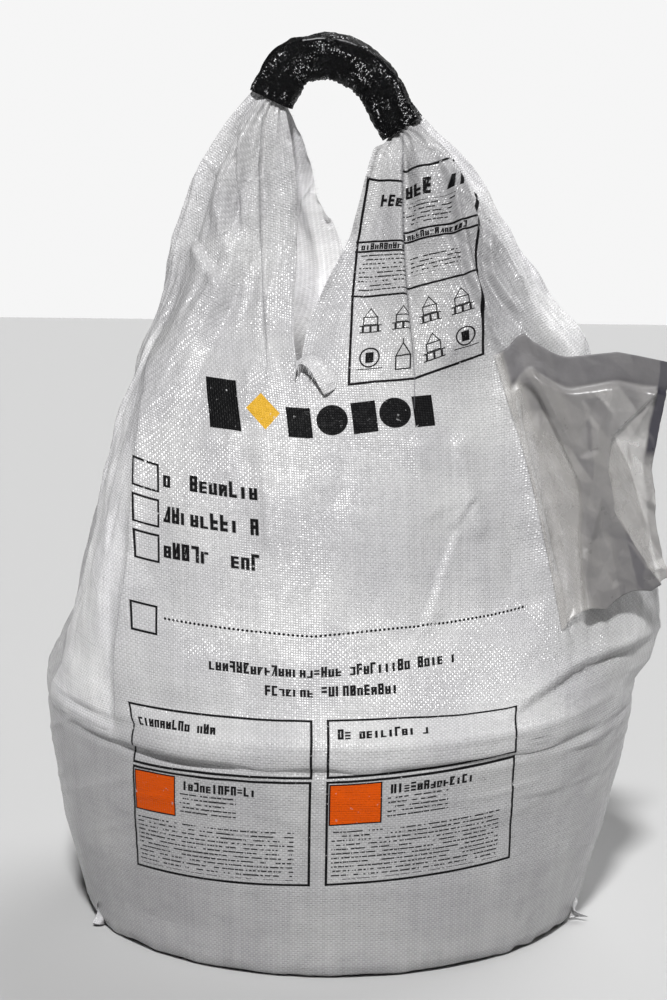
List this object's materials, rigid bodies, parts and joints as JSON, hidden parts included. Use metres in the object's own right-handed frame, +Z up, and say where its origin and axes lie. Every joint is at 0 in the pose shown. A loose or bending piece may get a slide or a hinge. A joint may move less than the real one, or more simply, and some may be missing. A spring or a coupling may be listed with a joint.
{
  "type": "bulk bag of plaster",
  "caption": "Filled one-loop bulk bag of dry plaster: woven fabric body on a flat base, empty tent-like top gathered into two legs, black lifting sleeve, document pouch.",
  "frame": {"origin": "middle of the flat base on the floor", "axes": "+Z up through the lifting loop, -Y towards the printed front, +X to the right seen from the front"},
  "size_m": [1.0628, 1.014, 1.5002],
  "materials": {
    "woven_fabric": "white laminated woven polypropylene, satin, with a fine tape weave and black, amber and orange print",
    "black_sleeve": "black crinkled wrap, glossy with a speckled sheen",
    "plaster_powder": "fine dry powder, matt",
    "pouch_film": "thin translucent grey film with soft folds"
  },
  "bodies": {
    "root": {"woven_bag": "woven_fabric", "loop_sleeve": "black_sleeve", "plaster_fill": "plaster_powder", "document_pouch": "pouch_film"}
  },
  "joints": []
}
